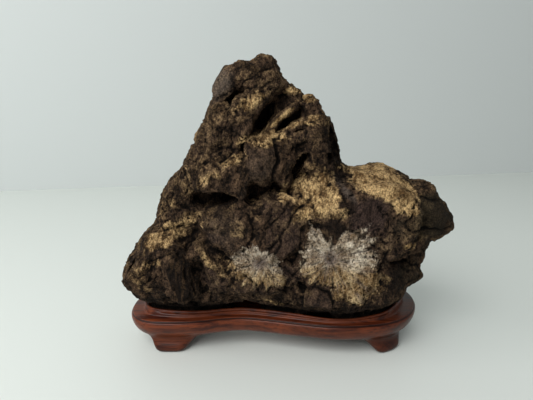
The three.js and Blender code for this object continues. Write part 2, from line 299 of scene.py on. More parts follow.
# width, depth (below 0 it stands proud) and the line from x, z to x, z
creases = [
    (1.1, 2, [(-9, 145), (-8, 134), (-9, 127), (-11, 118)]),
    (1.2, 1.8, [(-57, 98), (-55, 88), (-50, 80), (-41, 73)]),
    (1.2, 1.6, [(-27, 109), (-26, 101), (-22, 93), (-24, 84), (-28, 78)]),
    (1.0, 1.5, [(8, 105), (2, 100), (-6, 87), (-12, 80)]),
    (1.0, 1.3, [(0, 107), (-8, 96), (-19, 84)]),
    (0.9, 1.2, [(-12, 101), (-12, 96), (-15, 91)]),
    (1.0, 1.4, [(-5, 85), (-9, 78), (-10, 73), (-5, 66)]),
    (1.1, 1.7, [(9, 93), (8, 84), (5, 75), (1, 69)]),
    (1.1, 1.5, [(10, 71), (4, 65), (-2, 51)]),
    (1.2, 2.0, [(-38, 53), (-34, 61), (-27, 62), (-22, 58), (-20, 52), (-23, 44)]),
    (1.0, 1.4, [(-3, 66), (4, 59), (9, 50)]),
    (1.3, 2.2, [(7, 38), (8, 45), (11.5, 51.5), (17.5, 54.5), (24, 52), (28, 46), (28, 38)]),
    (0.8, 0.8, [(20, 51), (17, 45), (15, 39)]),
    (1.1, 1.8, [(75, 99), (71, 95), (72, 91), (80, 90), (102, 87)]),
    (0.9, 1.2, [(79, 108), (76, 103), (75, 98)]),
    (1.1, 1.5, [(83, 109), (88, 106), (96, 105)]),
    (0.9, 1.1, [(38, 90), (48, 85), (58, 75)]),
    (1.3, 2.0, [(60, 79), (59, 70), (56, 61)]),
    (0.9, 1.2, [(68, 87), (65, 79), (70, 68), (77, 66)]),
    (1.0, 1.4, [(72, 52), (80, 54), (87, 54)]),
    (1.4, 2.2, [(-32, 169), (-39, 165)]),
    (0.9, 1.4, [(-26, 180), (-29, 176), (-33, 173)]),
    (0.9, 1.4, [(-20, 177), (-27, 172)]),
    (0.9, 1.1, [(-48, 167), (-41, 172), (-29, 175)]),
    (0.8, 1.1, [(-12, 187), (-18, 185), (-27, 187)]),
    (0.8, 1.1, [(-7, 182), (-12, 178), (-18, 173)]),
    (1.1, 1.5, [(-30, 141), (-36, 136), (-42, 132)]),
    (0.9, 1.1, [(-37, 162), (-38, 154), (-42, 146)]),
    (0.9, 1.1, [(-32, 158), (-35, 149), (-36, 141)]),
    (0.9, 1.0, [(-52, 157), (-46, 149)]),
    (1.0, 1.3, [(8, 169), (9, 163), (6, 158)]),
    (0.8, 1.1, [(4, 142), (8, 138), (10, 132)]),
    (0.8, 1.0, [(-82, 101), (-74, 107), (-71, 114)]),
    (0.9, 1.2, [(-86, 90), (-76, 95), (-70, 94)]),
    (0.8, 1.0, [(-65, 127), (-62, 119), (-63, 109)]),
    (1.0, 1.3, [(-88, 69), (-82, 71), (-76, 76)]),
    (0.9, 1.1, [(-86, 66), (-87, 60), (-91, 54)]),
    (0.8, 1.0, [(-94, 58), (-87, 54), (-80, 51)]),
    (1.0, 1.3, [(-49, 52), (-50, 42)]),
    (0.9, 1.3, [(-16, 51), (-9, 55), (-2, 49)]),
    (1.6, -1.6, [(-57, 81), (-52, 76), (-46, 68), (-35, 55)]),
    (1.5, -1.4, [(-78, 73), (-75, 78), (-65, 79)]),
    (1.4, -1.0, [(37, 124), (37, 116), (34, 109)]),
    (1.4, -1.0, [(-35, 188), (-36, 181), (-34, 174)]),
]

# rosettes: middle x and z, then how far the petals reach in each direction, in degrees and millimetres
rosettes = {
    "right": (25.5, 73, [
        (0, 33), (28, 30), (48, 26), (62, 21), (74, 9), (88, 14), (100, 9), (112, 18), (125, 25), (140, 19),
        (158, 18), (180, 18), (205, 25), (235, 18), (260, 17), (285, 23), (300, 32), (322, 36), (345, 32),
    ]),
    "left": (-18, 70.5, [
        (0, 14), (36, 11), (60, 9), (90, 10), (130, 14), (162, 18), (190, 18), (223, 17), (255, 15),
        (280, 17), (300, 21), (317, 26), (332, 20), (345, 15),
    ]),
}

# strength, middle x and z, half width, half height, turn
patches = {
    "sand": [
        (0.95, -24, 167, 13, 4, 26), (1, -4.5, 157.8, 13, 2, 38), (1, -2, 152, 14, 1.6, 23),
        (0.9, 1, 173, 7, 3, 12), (0.85, 12, 169, 5, 2.5, 0), (0.8, 13, 156, 8, 2.5, 12),
        (0.8, 25, 155, 5, 2.5, 30), (0.85, -15, 146, 17, 4, 6), (0.3, -50, 130, 18, 9, 11),
        (0.7, -34, 133, 10, 2.5, 16), (0.6, -50, 122, 9, 4, 25), (0.75, -78, 84, 19, 7, 26),
        (0.6, -62, 94, 11, 6, 20), (0.9, 17, 112, 17, 16, 60), (1, -2, 111, 6, 3, 32),
        (1.3, 56, 119, 26, 9, -20), (1.1, 71, 106, 9, 8, -10), (0.8, 29, 100, 9, 3.5, 10),
        (0.8, 48, 53, 20, 11, 12), (0.9, 75, 80, 5, 3, -4), (0.55, -94, 60, 8, 6, 13),
        (0.6, -86, 68, 7, 3.5, 13), (0.4, -90, 51, 7, 4, -35), (0.6, -48, 68, 16, 2.6, -49),
        (0.5, -37, 66, 12, 8, -40),
        (0.6, -9, 40, 7, 3, -17), (0.4, -52, 50, 2.5, 4, 0), (0.2, -24, 183, 16, 6, 2),
        (0.45, -20, 102, 4, 7, -9), (0.35, -33, 92, 9, 5, -35), (0.35, -60, 118, 16, 9, 50),
        (0.45, -78, 104, 10, 8, 40),
    ],
    "plum": [
        (0.8, 34, 115, 10, 3.4, -50), (1.4, 50, 100, 11.5, 11.5, 8), (0.8, -48, 59, 12, 8, -52),
        (0.7, 0, 59, 8, 11, 0), (0.5, -7, 102, 14, 8, -44), (0.5, 18, 48, 14, 11, -22),
        (0.5, -48, 90, 6, 9, 0), (0.5, 58, 81, 14, 7, -40), (0.5, -22, 51, 9, 4, 0),
        (0.6, -2, 84, 13, 9, 45),
    ],
    # dark: partly dark stone, partly painted shade in the trough, between the blades, under the overhang
    # and the arm, along the stone's foot and on the cliff turned from the light
    "dark": [
        (1, 27, 91, 9, 5, -15), (0.8, 35, 104, 6, 4, 56), (1, 30, 138, 10, 20, 12),
        (2.5, -67, 60, 7.5, 16.5, 7), (0.5, -3, 46, 12, 7, -24), (0.6, 49, 38, 26, 4, 13),
        (0.8, 66, 57, 9, 15, 0), (0.6, -75, 40, 22, 6, 0), (0.9, -45, 108, 17, 7, 8),
        (0.9, -16, 157, 12, 5, 56), (0.9, 0, 155, 10, 2.2, 36), (0.7, 97, 92, 12, 16, 10),
        (0.5, 77, 60, 10, 8, 18),
    ],
    "olive": [(1, 92, 95, 15, 15, -30), (0.6, 76, 58, 10, 8, 18), (0.4, 70, 92, 9, 9, 0)],
    "smooth": [
        (1, 93, 95, 13, 13, -30), (0.9, -42, 178, 6, 11, -25), (0.7, -17, 131, 9, 13, 0),
        (0.6, -37, 91, 15, 13, 0), (0.8, -1, 83, 13, 7, 50), (0.7, 19, 46, 12, 10, 0),
        (0.6, -28, 55, 6, 5, 0), (0.6, 48, 103, 13, 11, 50), (0.8, 30, 72, 22, 16, -20),
        (0.6, -18, 68, 14, 10, -10), (1, -4.5, 157.8, 14, 3, 38), (0.9, -1, 152, 15, 2.5, 23),
        (0.8, 18, 44, 10, 10, 0), (0.6, 17, 112, 18, 15, 60), (0.8, 58, 118, 24, 8, -20),
        (0.6, -85, 80, 16, 8, 26),
    ],
    "grey": [(0.7, -43, 177, 6, 10, -25), (0.2, -17, 129, 9, 12, 0), (0.7, 34, 115, 9, 2.6, -50),
             (0.15, -40, 90, 14, 11, -30)],
    "even": [(1, 58, 116, 25, 11, -18), (0.7, 50, 101, 13, 12, 0), (0.8, -4, 106, 6, 4, 30)],
    "fluted": [(2.5, -67, 60, 7.5, 17, 7), (0.9, -2, 132, 7, 13, 0), (0.5, -17, 129, 8, 12, 0),
               (0.6, -30, 152, 7, 14, -28)],
}


def turnedOffsets(points, middleX, middleZ, turn):
    # how far right and up of a place, along axes turned by so many degrees
    c, s = math.cos(math.radians(turn)), math.sin(math.radians(turn))
    dx, dz = points[:, 0] - middleX, points[:, 2] - middleZ
    return dx * c + dz * s, dz * c - dx * s


def addLump(bm, name, seed):
    x, z, face, halfWidth, halfHeight, halfDepth, turn, tip = lumps[name]
    made = bmesh.ops.create_icosphere(bm, subdivisions=4, radius=1)["verts"]
    kind = "slab" if name in stone["slabs"] else "lump"
    power, rough = stone[kind + "Squareness"], stone[kind + "Roughness"]
    for vert in made:
        bump = noise.fractal(vert.co * 1.3 + Vector((seed * 7.7, 0, 0)), 1.0, 2.0, 2)
        squared = [math.copysign(abs(c) ** power, c) for c in vert.co]
        vert.co = Vector(squared) * (1 + rough * bump) * 0.93
    size = Matrix.Diagonal((halfWidth, halfDepth, halfHeight, 1))
    facing = Euler((math.radians(-tip), 0, 0)).to_matrix().to_4x4()
    turned = Euler((0, math.radians(-turn), 0)).to_matrix().to_4x4()
    place = Matrix.Translation((x, face + halfDepth, z))
    bmesh.ops.transform(bm, matrix=Matrix.Scale(mm, 4) @ place @ facing @ turned @ size, verts=made)


def roughBlock():
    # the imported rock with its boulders, blades and ledges added, as one skin
    bm = bmesh.new()
    bm.from_mesh(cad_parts["rock"].data)
    bmesh.ops.remove_doubles(bm, verts=bm.verts, dist=0.01 * mm)
    for seed, name in enumerate(lumps):
        addLump(bm, name, seed)
    mesh = bpy.data.meshes.new("roughBlock")
    bm.to_mesh(mesh)
    bm.free()
    return remeshed(mesh, stone["firstVoxel"])


def pressHollows(points):
    # front parts of the stone are moved back to each hollow's floor
    for x, z, floor, halfWidth, halfHeight, turn in hollows.values():
        along, across = turnedOffsets(points, x, z, turn)
        reach = np.hypot(along / halfWidth, across / halfHeight)
        share = 1 - ramp(reach, *stone["hollowEdge"])
        back = np.maximum(points[:, 1], floor)
        points[:, 1] += (back - points[:, 1]) * share


def nudgeOutline(points):
    for x, z, reach, right, up in nudges.values():
        share = 1 - ramp(np.hypot(points[:, 0] - x, points[:, 2] - z) / reach, 0.1, 1)
        points[:, 0] += right * share
        points[:, 2] += up * share


def deepenRelief(points, normals, edges):
    # boulders stand further out of the stone's broad shape, and the gaps go further in
    broad = averaged(points, edges, stone["reliefRounds"])
    relief = ((points - broad) * normals).sum(1)
    gain = stone["reliefGain"] * facingFront(points, normals)
    return points + normals * (np.clip(relief, *stone["reliefLimits"]) * gain)[:, None]


def distanceToLine(points, line):
    nearest = np.full(len(points), 1e9)
    flat = points[:, [0, 2]]
    for start, end in zip(line, line[1:]):
        a, b = np.array(start, float), np.array(end, float)
        t = np.clip((flat - a) @ (b - a) / ((b - a) @ (b - a)), 0, 1)
        nearest = np.minimum(nearest, np.linalg.norm(flat - a - t[:, None] * (b - a), axis=1))
    return nearest


def facingFront(points, normals, tops=0.0):
    # tops is how far surfaces that face up count as well
    return ramp(normals[:, 2] * tops - normals[:, 1], -0.15, 0.3) * (1 - ramp(points[:, 1], 2, 14))


def cutCreases(points, normals):
    sideways, upwards = fieldOf(points, 9, 2, 3.0), fieldOf(points, 9, 2, 8.0)
    wander = np.stack([sideways, np.zeros(len(points)), upwards], axis=1)
    looked = points + wander * 1.8
    front = facingFront(points, normals)
    total = np.zeros(len(points))
    for width, depth, line in creases:
        share = np.exp(-((distanceToLine(looked, line) / (width * stone["creaseWidth"])) ** 2)) * front
        points -= normals * (depth * stone["creaseGain"] * share)[:, None]
        if depth > 0:
            total = np.maximum(total, share * min(1, depth / 1.6))
    return total


def petalReach(points, rosette):
    # distance from a rosette's middle as a share of its petals' reach, and the direction
    middleX, middleZ, reaches = rosette
    dx, dz = points[:, 0] - middleX, points[:, 2] - middleZ
    direction = np.degrees(np.arctan2(dz, dx)) % 360
    angles, lengths = np.array(reaches, float).T
    reach = np.interp(direction, angles, lengths, period=360)
    distance = np.hypot(dx, dz)
    around = np.radians(direction)
    streaks = np.stack([np.cos(around) * 5.5, distance * 0.08, np.sin(around) * 5.5], axis=1)
    feather = fieldOf(streaks, 1.0, 5)
    return distance / (reach * (1 + 0.26 * feather)), feather, distance


def rayPlaces(points):
    # places for a noise that runs in rays from the nearest rosette's middle
    nearest = np.full(len(points), 1e9)
    places = np.zeros((len(points), 3))
    for number, (middleX, middleZ, _) in enumerate(rosettes.values()):
        dx, dz = points[:, 0] - middleX, points[:, 2] - middleZ
        distance = np.hypot(dx, dz) + 0.01
        nearer = distance < nearest
        nearest[nearer] = distance[nearer]
        rays = np.stack([dx / distance, distance * 0.006 + number * 5, dz / distance], axis=1)
        places[nearer] = rays[nearer]
    return places


def raisePetals(points, normals):
    front = facingFront(points, normals)
    for rosette in rosettes.values():
        share, feather, distance = petalReach(points, rosette)
        body = (1 - ramp(share, 0.75, 1.1)) * ramp(distance, 1, 7)
        middle = 1 - ramp(distance, 1, 5)
        points += normals * ((body * (0.9 + 1.5 * feather) - 0.8 * middle) * front)[:, None]


def patchShares(points, normals, kind, wander):
    front = facingFront(points, normals, 0.6)
    total = np.zeros(len(points))
    for strength, x, z, halfWidth, halfHeight, turn in patches[kind]:
        along, across = turnedOffsets(points, x, z, turn)
        reach = np.hypot(along / halfWidth, across / halfHeight)
        wandered = reach + wander * stone["patchWander"]
        total = np.maximum(total, strength * (1 - ramp(wandered, *stone["patchEdge"])))
    return np.minimum(total, 1) * front


def breakFaces(points, edges, smoothShare):
    # broken stone: flat faces of several sizes that meet in edges
    warp = np.stack([fieldOf(points, 10, 2, shift) for shift in (21.0, 33.0, 47.0)], axis=1) * 2.5
    for size, share in stone["breaks"]:
        flattened = brokenFlat(points, cellsAt(points + warp, size, size * 0.37), share)
        points = points + (flattened - points) * (1 - 0.6 * smoothShare)[:, None]
    wear = stone["edgeWear"]
    return points * (1 - wear) + averaged(points, edges, 1) * wear


def roughen(points, normals, smoothShare, fluteShare):
    knobSize, knobHeight = stone["knobbles"]
    gritSize, gritHeight = stone["grit"]
    fluteWidth, fluteHeight = stone["flutes"]
    calm = 1 - 0.8 * smoothShare
    warp = np.stack([fieldOf(points, 5, 2, shift) for shift in (61.0, 73.0, 87.0)], axis=1) * 2.2
    height = np.zeros(len(points))
    for size, rise, cut in stone["chips"]:
        steps, gaps = chipsOf(points + warp, size, 4.0 + size)
        opened = ramp(fieldOf(points, size * 2.2, 2, size), -0.15, 0.25)  # cracks come and go
        height += (steps * rise - gaps * cut * opened) * calm
    height += (ridgesOf(points, knobSize, 2.0) - 0.6) * knobHeight * calm
    height += fieldOf(points, gritSize, 3, 5.0) * gritHeight * (1 - 0.5 * smoothShare)
    height += (ridgesOf(points * [1, 1, 0.16], fluteWidth, 6.0) - 0.5) * fluteHeight * fluteShare
    return points + normals * height[:, None]


def bluntSpikes(points, edges, normals):
    # what stands out too far from the points around it is worn down
    around = averaged(points, edges, 4)
    proud = ((points - around) * normals).sum(1)
    return points + (around - points) * ramp(proud, *stone["proud"])[:, None] * 0.8


def keepClear(points):
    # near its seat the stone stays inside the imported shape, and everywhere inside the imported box
    tree = BVHTree.FromObject(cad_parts["rock"], bpy.context.evaluated_depsgraph_get())
    low = np.nonzero(points[:, 2] < stone["seatTop"])[0]
    crumble = fieldOf(points[low], 6, 2, 9.0)
    for row, recess in zip(low.tolist(), crumble.tolist()):
        at = Vector(points[row]) * mm
        spot, normal, _, _ = tree.find_nearest(at)
        height = (at - spot).dot(normal) / mm
        above = points[row, 2] - stone["seatLevel"]
        drawnIn = stone["seatRecess"] * min(1, max(0, -above) / 5)
        allowed = max(0, above) / 2 - drawnIn - stone["seatSkin"]
        if height > allowed:
            points[row] = (at - normal * (height - allowed) * mm) / mm
        if points[row, 2] < stone["crumbleTop"] and points[row, 1] < 0:
            points[row, 1] += max(0, recess) * stone["crumbleDepth"]
    lowest = np.array(cadLow) / mm + 0.02
    highest = np.array(cadHigh) / mm - 0.02
    return np.clip(points, lowest, highest)


def clearWood(points, wood):
    # draws the seat back wherever it would cut into the wood
    tree = BVHTree.FromObject(wood, bpy.context.evaluated_depsgraph_get())
    gap = stone["woodGap"] * mm
    for row in np.nonzero(points[:, 2] < stone["woodTop"])[0].tolist():
        at = Vector(points[row]) * mm
        spot, normal, _, distance = tree.find_nearest(at)
        if distance < stone["woodReach"] * mm and (at - spot).dot(normal) < gap:
            points[row] = (spot + normal * gap) / mm


def dropCrumbs(mesh):
    # takes away the specks that the even skin leaves loose or shut inside
    bm = bmesh.new()
    bm.from_mesh(mesh)
    seen = set()
    crumbs = []
    for first in bm.verts:
        if first in seen:
            continue
        seen.add(first)
        group = [first]
        for vert in group:
            for edge in vert.link_edges:
                other = edge.other_vert(vert)
                if other not in seen:
                    seen.add(other)
                    group.append(other)
        if len(group) < stone["crumbPoints"]:
            crumbs.extend(group)
    bmesh.ops.delete(bm, geom=crumbs, context="VERTS")
    bm.to_mesh(mesh)
    bm.free()
    print("stone: specks dropped,", len(crumbs), "points")


def keep(mesh, name, values):
    mesh.attributes.new(name, "FLOAT", "POINT").data.foreach_set("value", values.astype(np.float32))


def blankStone():
    # the rough block with its hollows pressed and its outline set, under a finer skin
    rough = roughBlock()
    print("stone: lumps joined,", len(rough.vertices), "points")
    edges = readEdges(rough)
    points = averaged(readPoints(rough), edges, 1)
    pressHollows(points)
    nudgeOutline(points)
    writePoints(rough, points)
    writePoints(rough, deepenRelief(points, readNormals(rough), edges))
    mesh = remeshed(rough, stone["fineVoxel"])
    dropCrumbs(mesh)
    print("stone: hollows pressed,", len(mesh.vertices), "points")
    return mesh


def keepForm(mesh, points, edges):
    # how hollow the surface is close by, and how deep it lies in the stone; the finish paints shade by both
    normals = readNormals(mesh)
    near = ((averaged(points, edges, 4) - points) * normals).sum(1)
    wide = ((averaged(points, edges, 40) - points) * normals).sum(1)
    keep(mesh, "hollow", np.clip(near / 0.8, -1, 1) * 0.5 + 0.5)
    keep(mesh, "deep", np.clip(wide / 4, -1, 1) * 0.5 + 0.5)


def keepPetals(mesh, points, broad):
    petals = [petalReach(points, rosette) for rosette in rosettes.values()]
    front = facingFront(points, broad)
    bloom = np.max([1 - ramp(share, *stone["petalEdge"]) for share, _, _ in petals], axis=0) * front
    core = np.max([1 - ramp(distance, 2, 7) for _, _, distance in petals], axis=0) * front
    warmth = np.max([
        (1 - ramp(share, 0.9, 1.2)) * ramp(middleZ - points[:, 2] + 6 * feather, -2, 10)
        for (share, feather, _), (_, middleZ, _) in zip(petals, rosettes.values())
    ], axis=0)
    veins = np.max([np.abs(feather) * (share < 1.3) for share, feather, _ in petals], axis=0)
    keep(mesh, "veins", np.clip(1 - 3.5 * veins, 0, 1))
    keep(mesh, "bloom", bloom)
    keep(mesh, "bloomCore", core)
    keep(mesh, "bloomWarmth", warmth)
    rays = mesh.attributes.new("rays", "FLOAT_VECTOR", "POINT").data
    rays.foreach_set("vector", rayPlaces(points).astype(np.float32).ravel())


def keepPatches(mesh, points, calmPoints, broad, wander):
    behind = ramp(broad[:, 1], -0.1, 0.4)
    upward = ramp(broad[:, 2], 0.1, 0.8)
    backSand = behind * np.clip(0.55 * upward + 0.8 * fieldOf(points, 30, 3, 12.0), 0, 1)
    keep(mesh, "sand", np.maximum(patchShares(calmPoints, broad, "sand", wander), backSand))
    for kind in ("plum", "dark", "olive", "grey", "smooth", "fluted"):
        keep(mesh, kind, patchShares(calmPoints, broad, kind, wander))
    keep(mesh, "upward", upward)
    # painted shade: how low a point lies, darker towards the stand
    keep(mesh, "low", 1 - ramp(points[:, 2] + wander * 5, 31, 42))


def makeStone(wood):
    mesh = blankStone()
    edges = readEdges(mesh)
    points = averaged(readPoints(mesh), edges, 1)
    broad = averaged(readNormals(mesh), edges, 3)
    wander = fieldOf(points, 8, 3, 1.0)
    evenShare = patchShares(points, broad, "even", wander)
    points = points + (averaged(points, edges, 14) - points) * evenShare[:, None]
    smoothShare = patchShares(points, broad, "smooth", wander)
    fluteShare = patchShares(points, broad, "fluted", wander * 0.5)
    calmPoints = points.copy()
    points = breakFaces(points, edges, smoothShare)
    points = roughen(points, broad, smoothShare, fluteShare)
    # the creases are cut into the surface, and their share sets painted shade in them
    keep(mesh, "crease", cutCreases(points, broad))
    raisePetals(points, broad)
    points = bluntSpikes(points, edges, broad)
    points = keepClear(points)
    clearWood(points, wood)
    writePoints(mesh, points)
    print("stone: surface broken up")
    keepForm(mesh, points, edges)
    keepPetals(mesh, calmPoints, broad)
    keepPatches(mesh, points, calmPoints, broad, wander)
    return newObject("stone", mesh)


def newMaterial(name):
    material = bpy.data.materials.new(name)
    material.use_nodes = True
    return material, material.node_tree, material.node_tree.nodes["Principled BSDF"]


def node(tree, kind, **settings):
    made = tree.nodes.new("ShaderNode" + kind)
    for key, value in settings.items():
        setattr(made, key, value)
    return made


def feed(tree, target, value):
    # a socket takes either another socket's output or a plain value
    if isinstance(value, bpy.types.NodeSocket):
        tree.links.new(value, target)
    else:
        target.default_value = value


def noiseOf(tree, place, size, detail=4, roughness=0.55, stretch=(1, 1, 1)):
    # noise with features about this many millimetres across
    mapping = node(tree, "Mapping")
    feed(tree, mapping.inputs["Vector"], place)
    mapping.inputs["Scale"].default_value = stretch
    made = node(tree, "TexNoise")
    feed(tree, made.inputs["Vector"], mapping.outputs["Vector"])
    made.inputs["Scale"].default_value = 1 / (size * mm)
    made.inputs["Detail"].default_value = detail
    made.inputs["Roughness"].default_value = roughness
    return made.outputs["Fac"]


def cellsOf(tree, place, size):
    made = node(tree, "TexVoronoi")
    feed(tree, made.inputs["Vector"], place)
    made.inputs["Scale"].default_value = 1 / (size * mm)
    return made.outputs["Distance"]


def warpedPlace(tree, place, size, reach):
    # the place moved about by soft noise, so that a pattern on it has no straight lines
    swirl = node(tree, "TexNoise")
    feed(tree, swirl.inputs["Vector"], place)
    swirl.inputs["Scale"].default_value = 1 / (size * mm)
    swirl.inputs["Detail"].default_value = 2
    offset = node(tree, "VectorMath", operation="MULTIPLY_ADD")
    feed(tree, offset.inputs[0], swirl.outputs["Color"])
    offset.inputs[1].default_value = (reach * mm,) * 3
    feed(tree, offset.inputs[2], place)
    return offset.outputs["Vector"]


def cracksOf(tree, place, size, width):
    # 1 along thin broken lines between irregular cells
    made = node(tree, "TexVoronoi", feature="DISTANCE_TO_EDGE")
    feed(tree, made.inputs["Vector"], place)
    made.inputs["Scale"].default_value = 1 / (size * mm)
    return spanned(tree, made.outputs["Distance"], 0, width, 1, 0)


def attribute(tree, name):
    return node(tree, "Attribute", attribute_name=name).outputs["Fac"]


def maths(tree, operation, first, second=0.0, clamp=False):
    made = node(tree, "Math", operation=operation, use_clamp=clamp)
    feed(tree, made.inputs[0], first)
    feed(tree, made.inputs[1], second)
    return made.outputs[0]


def spanned(tree, value, low, high, start=0.0, end=1.0):
    made = node(tree, "MapRange", interpolation_type="SMOOTHSTEP")
    for socket, given in zip(list(made.inputs)[:5], (value, low, high, start, end)):
        feed(tree, socket, given)
    return made.outputs["Result"]


def blended(tree, share, first, second, mode="MIX"):
    made = node(tree, "Mix", data_type="RGBA", blend_type=mode)
    feed(tree, made.inputs["Factor"], share)
    feed(tree, made.inputs[6], first)
    feed(tree, made.inputs[7], second)
    return made.outputs[2]


def times(tree, first, second):
    return maths(tree, "MULTIPLY", first, second)


def shaded(tree, colour, shade):
    return blended(tree, 1.0, colour, shade, "MULTIPLY")


def bumped(tree, height, distance, strength, under=None):
    made = node(tree, "Bump")
    made.inputs["Distance"].default_value = distance * mm
    made.inputs["Strength"].default_value = strength
    feed(tree, made.inputs["Height"], height)
    if under is not None:
        feed(tree, made.inputs["Normal"], under)
    return made.outputs["Normal"]


def placeOf(tree):
    return node(tree, "TexCoord").outputs["Object"]


stoneFinish = {
    "brown": paint(98, 76, 58),
    "brownDeep": paint(40, 31, 24),
    # dark stone, and painted shade in clefts, under overhangs, on faces turned from the light and towards
    # the bottom
    "dark": paint(24, 17, 13),
    "sand": paint(228, 192, 136),
    "sandDeep": paint(126, 95, 58),
    "plum": paint(68, 53, 48),
    "olive": paint(68, 59, 44),
    "grey": paint(108, 97, 87),
    "chalk": paint(238, 223, 199),
    "chalkDeep": paint(172, 152, 127),
    "cream": paint(216, 188, 143),
    "lilac": paint(124, 110, 104),
    # near black for the painted shade in cracks, pits, creases and hollows, and for random dark specks
    "crack": paint(12, 8, 5),
    "roughness": 0.92,
    "specular": 0.12,
}


def stoneNoises(tree, place):
    # the noises that several layers of the finish share
    middle = noiseOf(tree, place, 6, 6, 0.62, (1, 1, 0.6))
    fine = noiseOf(tree, place, 1.5, 6, 0.68, (1, 1, 0.5))
    grain = noiseOf(tree, place, 0.9, 3, 0.7)
    rayPlace = node(tree, "Attribute", attribute_name="rays").outputs["Vector"]
    return {
        "broad": noiseOf(tree, place, 26, 4),
        "middle": middle,
        "fine": fine,
        "grain": grain,
        "flutes": noiseOf(tree, place, 2, 4, 0.6, (1, 1, 0.13)),
        "rays": noiseOf(tree, rayPlace, 90, 4, 0.6),
        "tone": maths(tree, "ADD", times(tree, middle, 0.55), times(tree, fine, 0.45)),
        "speck": maths(tree, "ADD", times(tree, fine, 0.6), times(tree, grain, 0.4)),
    }


def bareStone(tree, noises):
    # brown stone with its plum, olive and grey stretches, and dark stretches that are partly dark stone and
    # partly painted shade
    finish = stoneFinish
    middle = noises["middle"]
    colour = blended(tree, spanned(tree, noises["tone"], 0.41, 0.59), finish["brownDeep"], finish["brown"])
    colour = blended(tree, spanned(tree, noises["broad"], 0.45, 0.65, 0, 0.3), colour, finish["plum"])
    colour = blended(tree, attribute(tree, "olive"), colour, finish["olive"])
    plumShare = times(tree, attribute(tree, "plum"), spanned(tree, middle, 0.3, 0.6, 0.45, 0.95))
    colour = blended(tree, plumShare, colour, finish["plum"])
    greyShare = times(tree, attribute(tree, "grey"), spanned(tree, middle, 0.35, 0.6, 0.5, 0.9))
    colour = blended(tree, greyShare, colour, finish["grey"])
    streaks = times(tree, attribute(tree, "fluted"), spanned(tree, noises["flutes"], 0.52, 0.6, 0, 0.3))
    darkShare = times(tree, attribute(tree, "dark"), spanned(tree, noises["fine"], 0.3, 0.6, 1, 0.82))
    darkShare = maths(tree, "SUBTRACT", darkShare, streaks, True)
    colour = blended(tree, darkShare, colour, finish["dark"])
    # painted shade: darker towards the bottom, where the stone sits in the stand
    colour = blended(tree, times(tree, attribute(tree, "low"), 0.8), colour, finish["dark"])
    return blended(tree, times(tree, streaks, 0.4), colour, finish["sandDeep"])


def sandCover(tree, noises):
    # sand lies in patches broken up by finer grains, and as thin dust on tops and crests
    hollow = attribute(tree, "hollow")
    dark = attribute(tree, "dark")
    grains = spanned(tree, noises["speck"], 0.36, 0.64, -0.1, 0.1)
    breakUp = maths(tree, "ADD", grains, spanned(tree, noises["middle"], 0.34, 0.66, -0.24, 0.16))
    level = maths(tree, "ADD", attribute(tree, "sand"), breakUp)
    level = maths(tree, "SUBTRACT", level, spanned(tree, hollow, 0.5, 0.8, 0, 0.35))
    # less sand on the dark stretches, which are partly painted shade
    level = maths(tree, "SUBTRACT", level, times(tree, dark, 0.5))
    onTops = times(tree, attribute(tree, "upward"), 0.16)
    dust = maths(tree, "ADD", onTops, spanned(tree, hollow, 0.48, 0.25, 0, 0.08))
    dust = maths(tree, "ADD", dust, spanned(tree, noises["broad"], 0.45, 0.6, -0.1, 0.08))
    dust = times(tree, dust, spanned(tree, attribute(tree, "smooth"), 0, 1, 1, 0.3))
    dust = times(tree, dust, spanned(tree, noises["speck"], 0.4, 0.6, 0.6, 1.3))
    # less dust on the dark stretches, partly painted shade, and on the painted shade towards the bottom
    dust = times(tree, dust, spanned(tree, dark, 0, 0.8, 1, 0.1))
    dust = maths(tree, "SUBTRACT", dust, times(tree, attribute(tree, "low"), 0.35))
    return maths(tree, "MAXIMUM", spanned(tree, level, 0.08, 1.1, 0, 0.86), dust, True)


def bloomPaint(tree, noises):
    # mineral rosettes: chalky above, creamy below, with a lilac middle and veins between the petals
    finish = stoneFinish
    tone, rays = noises["tone"], noises["rays"]
    chalk = blended(tree, spanned(tree, tone, 0.38, 0.62), finish["chalkDeep"], finish["chalk"])
    cream = blended(tree, spanned(tree, tone, 0.4, 0.62), finish["sandDeep"], finish["cream"])
    colour = blended(tree, attribute(tree, "bloomWarmth"), chalk, cream)
    colour = blended(tree, times(tree, attribute(tree, "bloomCore"), 0.85), colour, finish["lilac"])
    veins = times(tree, attribute(tree, "veins"), spanned(tree, noises["fine"], 0.3, 0.6, 0.3, 0.8))
    colour = blended(tree, veins, colour, finish["sandDeep"])
    colour = blended(tree, spanned(tree, rays, 0.5, 0.62, 0, 0.5), colour, finish["lilac"])
    return blended(tree, spanned(tree, rays, 0.6, 0.68, 0, 0.5), colour, finish["brownDeep"])


def pitsOf(tree, place, noises, pale):
    # small pits, fewer on smooth and pale stretches
    pits = spanned(tree, cellsOf(tree, place, 2.6), 0.12, 0.34, 0.75, 0)
    pits = times(tree, pits, spanned(tree, noises["middle"], 0.42, 0.58, 0, 1))
    pits = times(tree, pits, spanned(tree, attribute(tree, "smooth"), 0, 1, 1, 0.35))
    return times(tree, pits, spanned(tree, pale, 0.1, 1, 1, 0.1))


def brokenLines(tree, warped, noises, pale):
    # cracks and hairlines, fewer on smooth and pale stretches
    hairlines = times(tree, cracksOf(tree, warped, 2.6, 0.12), 0.5)
    cracks = maths(tree, "MAXIMUM", cracksOf(tree, warped, 6.5, 0.08), hairlines)
    cracks = times(tree, cracks, spanned(tree, noises["middle"], 0.6, 0.4))
    cracks = times(tree, cracks, spanned(tree, attribute(tree, "smooth"), 0, 1, 1, 0.4))
    return times(tree, cracks, spanned(tree, pale, 0.1, 1, 1, 0.15))


